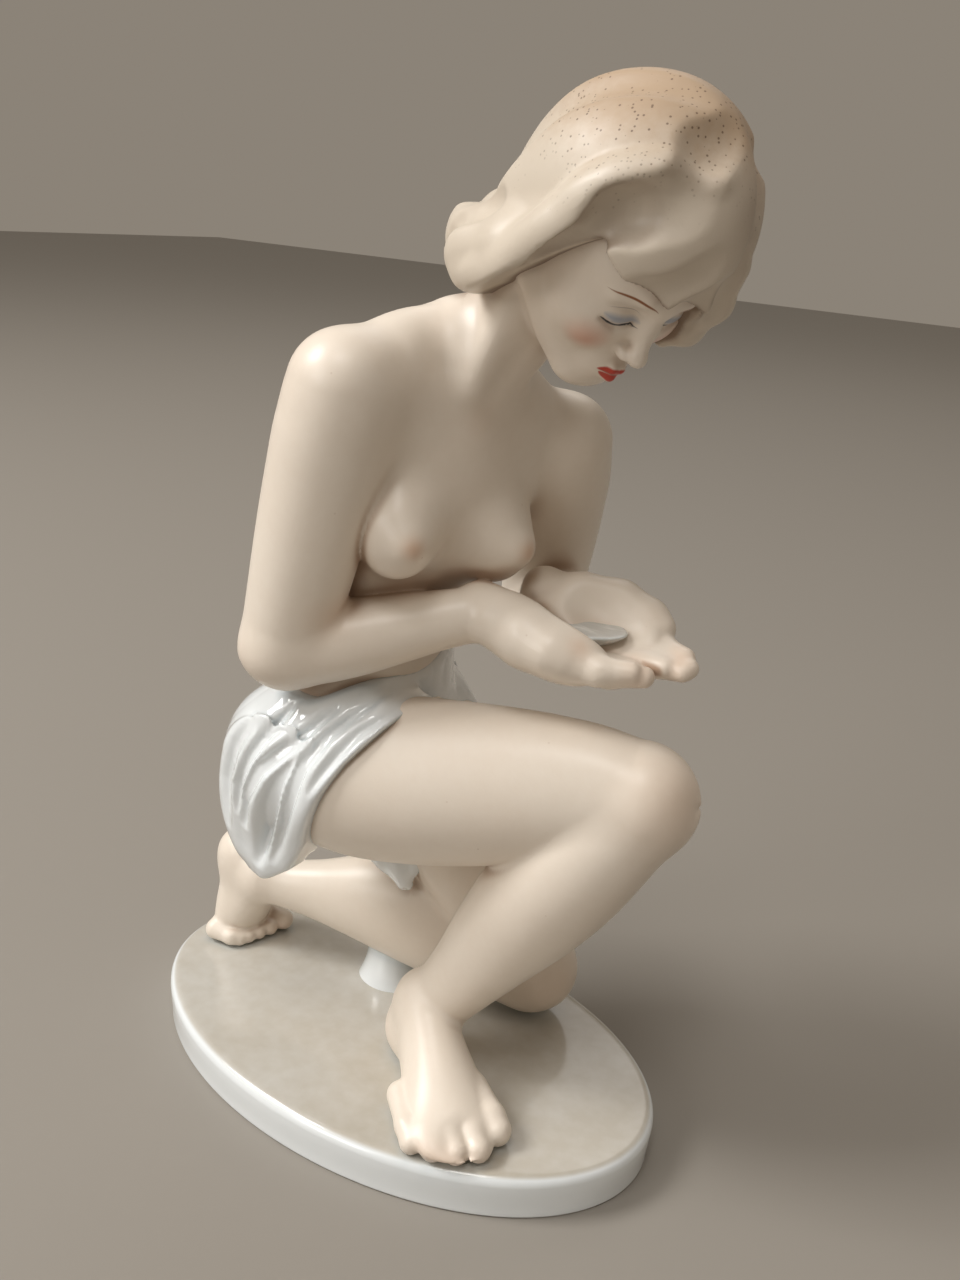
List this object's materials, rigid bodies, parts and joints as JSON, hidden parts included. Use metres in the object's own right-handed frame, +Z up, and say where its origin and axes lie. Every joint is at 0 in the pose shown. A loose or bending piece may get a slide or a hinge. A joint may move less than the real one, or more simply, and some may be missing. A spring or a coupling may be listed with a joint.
{
  "type": "porcelain figurine",
  "caption": "Porcelain figurine of a bather on one knee with water in cupped hands, glazed drape at the hips, on an oval plinth.",
  "frame": {"origin": "middle of the oval plinth's foot, on the surface that the figurine stands on", "axes": "+Z up; +X along the plinth towards the planted foot and the way the figure faces; +Y towards the figure's left hand"},
  "size_m": [0.1362, 0.091, 0.2243],
  "materials": {
    "white_glaze": "gloss",
    "bisque_skin": "satin",
    "bisque_hair": "satin",
    "water_glaze": "gloss"
  },
  "bodies": {
    "root": {"plinth": "white_glaze", "prop": "white_glaze", "torso": "bisque_skin", "right_thigh": "bisque_skin", "left_thigh": "bisque_skin", "right_lower_leg": "bisque_skin", "left_lower_leg": "bisque_skin", "right_foot": "bisque_skin", "left_foot": "bisque_skin", "right_arm": "bisque_skin", "left_arm": "bisque_skin", "right_hand": "bisque_skin", "left_hand": "bisque_skin", "head": "bisque_skin", "hair_bob": "bisque_hair", "water_pool": "water_glaze", "drape_hip": "white_glaze", "drape_back": "white_glaze", "drape_front": "white_glaze"}
  },
  "joints": []
}
